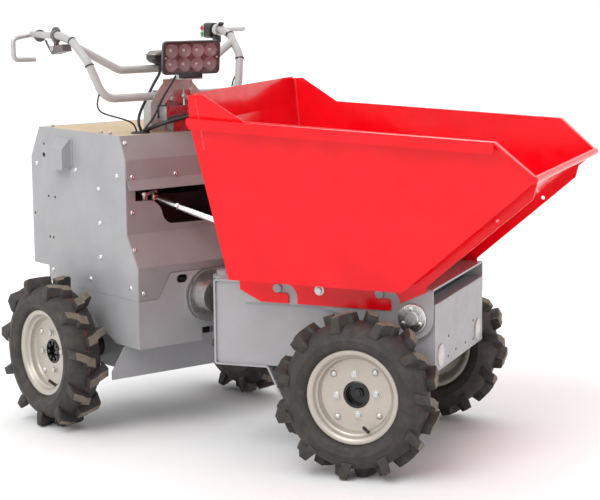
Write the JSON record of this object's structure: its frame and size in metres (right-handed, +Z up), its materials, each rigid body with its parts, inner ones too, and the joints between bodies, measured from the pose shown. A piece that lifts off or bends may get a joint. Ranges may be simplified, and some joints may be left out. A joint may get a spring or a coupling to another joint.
{
  "type": "articulated site dumper",
  "caption": "Walk-behind articulated site dumper: forward-tipping open skip on a wheeled front frame, steered from a handlebar on the hinged rear power unit.",
  "frame": {"origin": "on the ground, under the middle of the machine's bounding box as it parks", "axes": "+X along the front frame, out over the skip's lip, +Y to the front frame's left, +Z up"},
  "size_m": [1.6157, 0.9956, 1.092],
  "materials": {
    "frame_grey": "satin light grey paint",
    "skip_red": "semi-gloss red paint, scuffed",
    "zinc": "zinc-plated steel",
    "dark_steel": "oily dark steel",
    "rim_paint": "pale champagne paint",
    "tyre": "dusty black rubber",
    "plywood": "sealed plywood",
    "black_plastic": "textured black plastic",
    "grip_rubber": "grey-black ribbed rubber",
    "galvanised": "galvanised steel sheet",
    "lens": "clear lamp lens",
    "cable": "black cable sheath",
    "battery_case": "dark battery case"
  },
  "bodies": {
    "front_frame_body": {"front_tray": "frame_grey", "front_frame": "frame_grey", "nose_plate": "frame_grey", "front_axle": "dark_steel", "tip_shaft": "dark_steel", "steering_yoke": "frame_grey"},
    "tipper": {"tip_frame": "frame_grey", "tip_bearings": "zinc", "skip_floor": "skip_red", "skip_sides": "skip_red", "skip_lip": "skip_red", "skip_runners": "skip_red"},
    "rear_body": {"rear_axle": "dark_steel", "roll_bearing": "zinc", "steering_knuckle": "dark_steel", "steering_gearbox": "dark_steel", "rear_frame": "frame_grey", "belly_plate": "frame_grey", "rear_sides": "frame_grey", "rear_skirts": "frame_grey", "upper_cover": "frame_grey", "front_cover": "frame_grey", "lower_cover": "frame_grey", "back_panel": "frame_grey", "top_board": "plywood", "battery": "battery_case", "side_hood": "frame_grey", "console_post": "galvanised", "bar_clamp": "galvanised", "lamp_bracket": "galvanised", "console_tray": "galvanised", "headlight": "black_plastic", "headlight_lens": "lens", "handlebar": "frame_grey", "right_grip": "grip_rubber", "left_switch": "black_plastic", "hand_guards": "galvanised", "lever_box": "black_plastic", "display_pod": "black_plastic", "pod_cable": "cable", "lamp_cable": "cable", "main_cable": "cable", "right_cable": "cable", "left_cable": "cable"},
    "steering_arm_body": {"steering_arm": "zinc"},
    "tie_rod_body": {"tie_rod": "zinc"},
    "front_right_wheel": {"front_right_tyre": "tyre", "front_right_rim": "rim_paint"},
    "front_left_wheel": {"front_left_tyre": "tyre", "front_left_rim": "rim_paint"},
    "rear_right_wheel": {"rear_right_tyre": "tyre", "rear_right_rim": "rim_paint"},
    "rear_left_wheel": {"rear_left_tyre": "tyre", "rear_left_rim": "rim_paint"}
  },
  "joints": [
    {"name": "tip", "type": "hinge", "parent": "front_frame_body", "child": "tipper", "pos_m": [0.46888, -0.11479, 0.388], "axis": [0, 1, 0], "range_deg": [0, 75]},
    {"name": "steer", "type": "hinge", "parent": "front_frame_body", "child": "rear_body", "pos_m": [-0.13112, -0.11479, 0.366], "axis": [0, 0, 1], "range_deg": [-1.6, 64.4]},
    {"name": "steering_arm_turn", "type": "hinge", "parent": "rear_body", "child": "steering_arm_body", "pos_m": [-0.34514, -0.15873, 0.6436], "axis": [0, 0, 1], "range_deg": [-64.4, 1.6]},
    {"name": "tie_rod_turn", "type": "hinge", "parent": "front_frame_body", "child": "tie_rod_body", "pos_m": [-0.13112, -0.05679, 0.551], "axis": [0, 0, 1], "range_deg": [-1.6, 64.4]},
    {"name": "front_right_wheel_spin", "type": "hinge", "parent": "front_frame_body", "child": "front_right_wheel", "pos_m": [0.35388, -0.44129, 0.2075], "axis": [0, 1, 0], "continuous": true},
    {"name": "front_left_wheel_spin", "type": "hinge", "parent": "front_frame_body", "child": "front_left_wheel", "pos_m": [0.35388, 0.21171, 0.2075], "axis": [0, 1, 0], "continuous": true},
    {"name": "rear_right_wheel_spin", "type": "hinge", "parent": "rear_body", "child": "rear_right_wheel", "pos_m": [-0.6068, -0.20696, 0.2075], "axis": [0.521, 0.8536, 0], "continuous": true},
    {"name": "rear_left_wheel_spin", "type": "hinge", "parent": "rear_body", "child": "rear_left_wheel", "pos_m": [-0.26658, 0.35041, 0.2075], "axis": [0.521, 0.8536, 0], "continuous": true}
  ],
  "couplings": [
    {"joint": "steering_arm_turn", "follows": "steer", "ratio": -1},
    {"joint": "tie_rod_turn", "follows": "steer", "ratio": 1}
  ]
}
